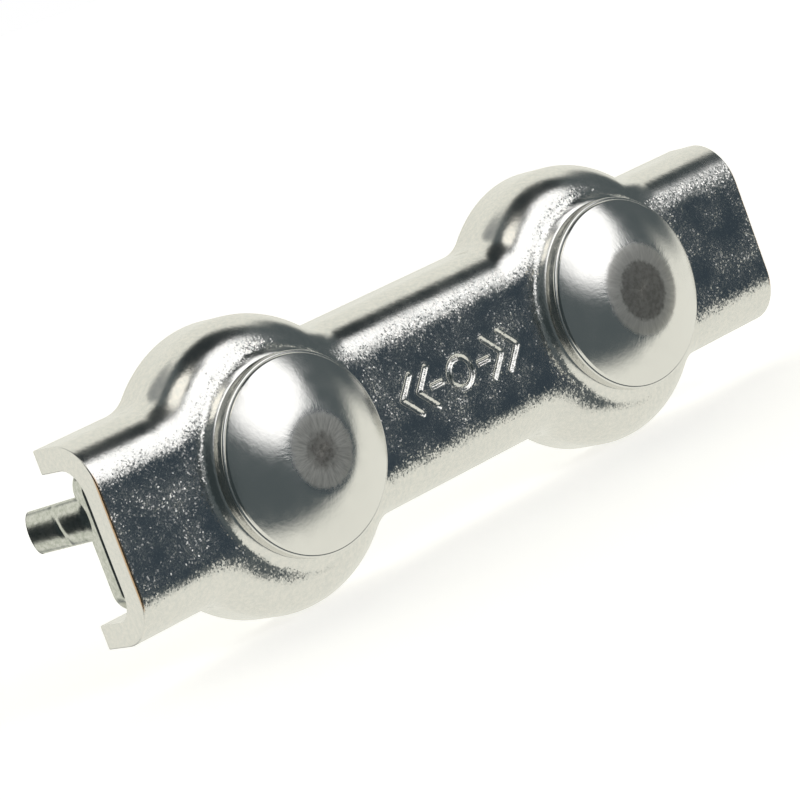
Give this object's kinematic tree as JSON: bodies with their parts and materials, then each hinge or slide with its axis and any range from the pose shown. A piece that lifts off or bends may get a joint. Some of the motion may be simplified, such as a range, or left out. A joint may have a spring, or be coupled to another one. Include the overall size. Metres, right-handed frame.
{
  "type": "duplex wire rope clip",
  "caption": "Pressed channel with lobes at its bolts, a clamp plate inside and nuts behind, clamping two parallel wire ropes side by side.",
  "frame": {"origin": "middle of the channel's flat outer web face, between the two bolts", "axes": "+X along the clip, away from the end with the tab; -Y out of the web towards the bolt heads, +Y towards the nuts; +Z across the clip, up when it lies on its side"},
  "size_m": [0.0606, 0.0184, 0.0192],
  "materials": {
    "pressed_zinc": "bright zinc plated pressed steel sheet, finely mottled",
    "plate_zinc": "bright zinc plated stamped steel",
    "bolt_zinc": "smooth zinc plated cold-headed steel with a dull crown",
    "nut_zinc": "zinc plated hexagon nut"
  },
  "bodies": {
    "clip_body": {"channel_body": "pressed_zinc", "left_bolt": "bolt_zinc", "right_bolt": "bolt_zinc"},
    "clamp": {"clamp_plate": "plate_zinc"},
    "left_nut_body": {"left_nut": "nut_zinc"},
    "right_nut_body": {"right_nut": "nut_zinc"}
  },
  "joints": [
    {"name": "plate_slide", "type": "slide", "parent": "clip_body", "child": "clamp", "axis": [0, 1, 0], "range_m": [0, 0.0064]},
    {"name": "left_nut_spin", "type": "hinge", "parent": "clamp", "child": "left_nut_body", "pos_m": [-0.0151, 0.00355, 0], "axis": [0, 1, 0], "range_deg": [0, 2880]},
    {"name": "right_nut_spin", "type": "hinge", "parent": "clamp", "child": "right_nut_body", "pos_m": [0.0151, 0.00355, 0], "axis": [0, 1, 0], "range_deg": [0, 2880]}
  ],
  "couplings": [
    {"joint": "left_nut_spin", "follows": "plate_slide", "rad_per_m": 7854},
    {"joint": "right_nut_spin", "follows": "plate_slide", "rad_per_m": 7854}
  ]
}
